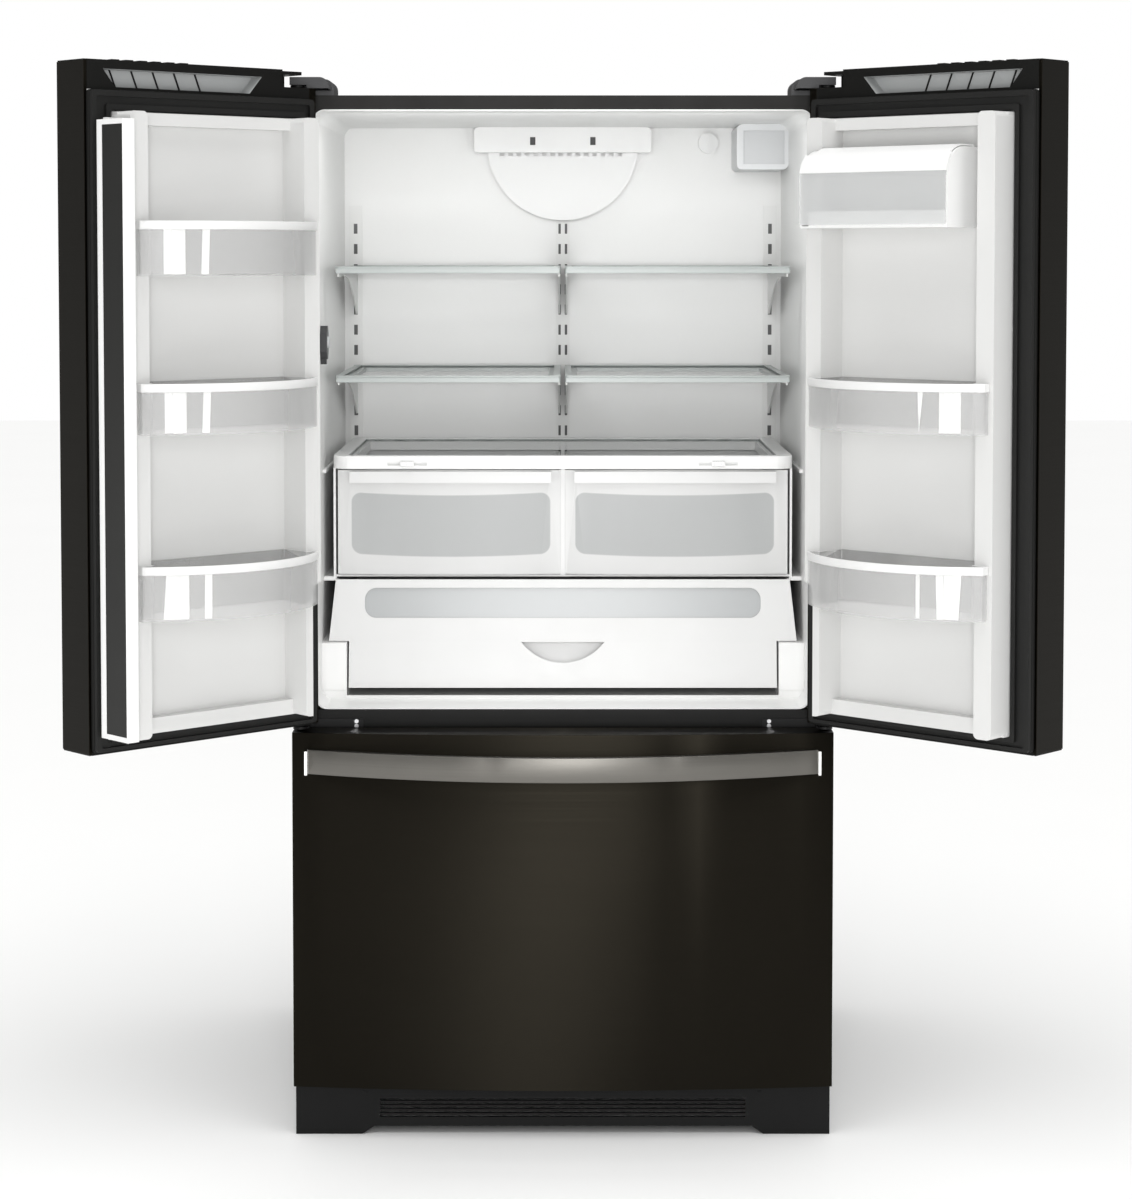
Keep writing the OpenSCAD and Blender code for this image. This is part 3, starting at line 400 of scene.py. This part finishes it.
def on_bin_rib(x, y, z):
    radius = math.hypot(x - BIN_MIDDLE[0], y - BIN_MIDDLE[1])
    between = RIB_RADII[0] < radius < RIB_RADII[1]
    return between and any(abs(x - middle) < half + 0.3 for middle, half in BIN_RIBS)


def in_cap_pocket(x, y, z):
    # the pocket's bottom and walls, but not the ribs that stand on its bottom
    return -342 < x < -38 and 1741.5 < z < 1772 and (-42.6 < y < -41.6 or -39 < y < -16)


def on_pantry_window(x, y, z):
    behind = y - PANTRY_FOOT_Y - (z - PANTRY_FOOT_Z) * PANTRY_LEAN
    return abs(x) < 349 and 846 < z < 909 and 2.6 < behind < 5.6


def on_inlet(x, y, z):
    return abs(x - INLET_X) < 8 and abs(z - INLET_Z) < 8


paint("mullion_bar", MULLION_PLATE, on_mullion_plate, "left")
paint("center_hinges", ZINC, on_hinge_screw)
# the air cover's slots get dark grey as painted shade in their recesses
paint("air_cover", PAINTED_SLOT_SHADE, in_air_slot)
paint("filter_housing", GREY, on_filter_panel)
# the slots in the tracks get dark grey as painted shade in their recesses
paint("shelf_ladders", PAINTED_SLOT_SHADE, in_track_slot)
# the shelves' brackets hang below their frames, and are white as the tracks are
for node, underside in SHELF_UNDERSIDES.items():
    paint(node, TRACK_WHITE, lambda x, y, z: z < underside - 0.05)
paint("freezer_handle", POLISHED, lambda x, y, z: abs(x) > HANDLE_HALF)
for side in SIDES:
    paint(f"{side}_door_bins", RIM, on_bin_rim, side)
    paint(f"{side}_door_bins", RIB, on_bin_rib, side)
    paint(f"{side}_door_caps", POCKET_GREY, in_cap_pocket, side)
    paint(f"{side}_door_handle", POLISHED,
          lambda x, y, z: not HANDLE_ENDS_Z[0] <= z <= HANDLE_ENDS_Z[1], side)
paint("pantry_drawer", WINDOW, on_pantry_window)
paint("dairy_lid", PART_WHITE, lambda x, y, z: z > LID_STRIP_Z, "right")
paint("machine_cover", PART_WHITE, on_inlet)


# ---------------------------------------------------------------- floor
def make_floor(half=20):
    """A pale floor, its half side in metres."""
    mat, tree, shader = new_material("floor_pale")
    drift = noise(tree, 1.2, 3)
    colour = tint(tree, drift, (0.95, 0.95, 0.945), (0.97, 0.97, 0.965))
    tree.links.new(colour, shader.inputs["Base Color"])
    shader.inputs["Roughness"].default_value = 0.6
    shader.inputs["Specular IOR Level"].default_value = 0.2
    corners = [(-half, -half, 0), (half, -half, 0), (half, half, 0), (-half, half, 0)]
    mesh = bpy.data.meshes.new("floor")
    mesh.from_pydata(corners, [], [(0, 1, 2, 3)])
    mesh.materials.append(mat)
    floor = bpy.data.objects.new("floor", mesh)
    bpy.context.scene.collection.objects.link(floor)


make_floor()


# ---------------------------------------------------------------- light
def make_world(strength=0.3):
    """White where the camera sees it, and a soft light of that strength on everything else."""
    world = bpy.data.worlds.new("studio")
    bpy.context.scene.world = world
    world.use_nodes = True
    tree = world.node_tree
    tree.nodes.clear()
    seen = tree.nodes.new("ShaderNodeBackground")
    seen.inputs["Color"].default_value = (1, 1, 1, 1)
    around = tree.nodes.new("ShaderNodeBackground")
    around.inputs["Color"].default_value = (1, 1, 0.99, 1)
    around.inputs["Strength"].default_value = strength
    path = tree.nodes.new("ShaderNodeLightPath")
    either = tree.nodes.new("ShaderNodeMixShader")
    output = tree.nodes.new("ShaderNodeOutputWorld")
    tree.links.new(path.outputs["Is Camera Ray"], either.inputs[0])
    tree.links.new(around.outputs[0], either.inputs[1])
    tree.links.new(seen.outputs[0], either.inputs[2])
    tree.links.new(either.outputs[0], output.inputs["Surface"])


def add_lamp(name, kind, power):
    """A lamp in the scene. Returns its object."""
    data = bpy.data.lights.new(name, kind)
    data.energy = power
    lamp = bpy.data.objects.new(name, data)
    bpy.context.scene.collection.objects.link(lamp)
    return lamp


def area(name, place, target, width, power, height=None):
    """A square or rectangular lamp that faces the target. Sizes in metres, power in watts."""
    lamp = add_lamp(name, "AREA", power)
    lamp.data.size = width
    if height:
        lamp.data.shape = "RECTANGLE"
        lamp.data.size_y = height
    lamp.location = place
    aim = Vector(target) - Vector(place)
    lamp.rotation_euler = aim.to_track_quat("-Z", "Y").to_euler()
    return lamp


make_world()
MIDDLE = (0, 0, 1.1)
area("left", (-3.6, -3.6, 2.2), MIDDLE, 2.4, 14)
area("right", (3.6, -3.6, 2.2), MIDDLE, 2.4, 14)
area("front", (0, -4.9, 1.5), MIDDLE, 0.9, 80, 2.4)
# the refrigerator's own lamp, behind the front edge of its ceiling
area("lamp", (0, (FRONT_Y + 60) * MM, 1.706), (0, (FRONT_Y + 420) * MM, 1.1), 0.7, 0.9, 0.05)
# low fill for the spaces under the drawers, left out of reflections
fill = area("low", (0, -2.9, 0.3), (0, FRONT_Y * MM, 0.85), 1.6, 5, 0.5)
fill.visible_glossy = False
# wide soft light from above and a little from the front
sun = add_lamp("overhead", "SUN", 2.45)
sun.data.angle = math.radians(70)
sun.rotation_euler = (math.radians(12), 0, 0)

scene = bpy.context.scene
scene.view_settings.view_transform = "Standard"
scene.view_settings.look = "None"

# ---------------------------------------------------------------- camera
# Lens and sensor in mm. The eye's distance, from the front of the closed doors, and its height
# are in metres.
SENSOR, LENS = 36, 83.24857
EYE_DISTANCE, EYE_HEIGHT = 4.57143, 1.48176
DOOR_FRONT_Y = FRONT_Y - 91
# a small pitch and a shift together, because the photograph is cropped close to the object
PITCH, SHIFT_X, SHIFT_Y = 0.05065, 0.00267, -0.17

optics = bpy.data.cameras.new("camera")
optics.sensor_width = SENSOR
optics.lens = LENS
optics.shift_x = SHIFT_X
optics.shift_y = SHIFT_Y
optics.clip_end = 100
camera = bpy.data.objects.new("camera", optics)
camera.location = (0, DOOR_FRONT_Y * MM - EYE_DISTANCE, EYE_HEIGHT)
camera.rotation_euler = (math.pi / 2 - PITCH, 0, 0)
scene.collection.objects.link(camera)
scene.camera = camera
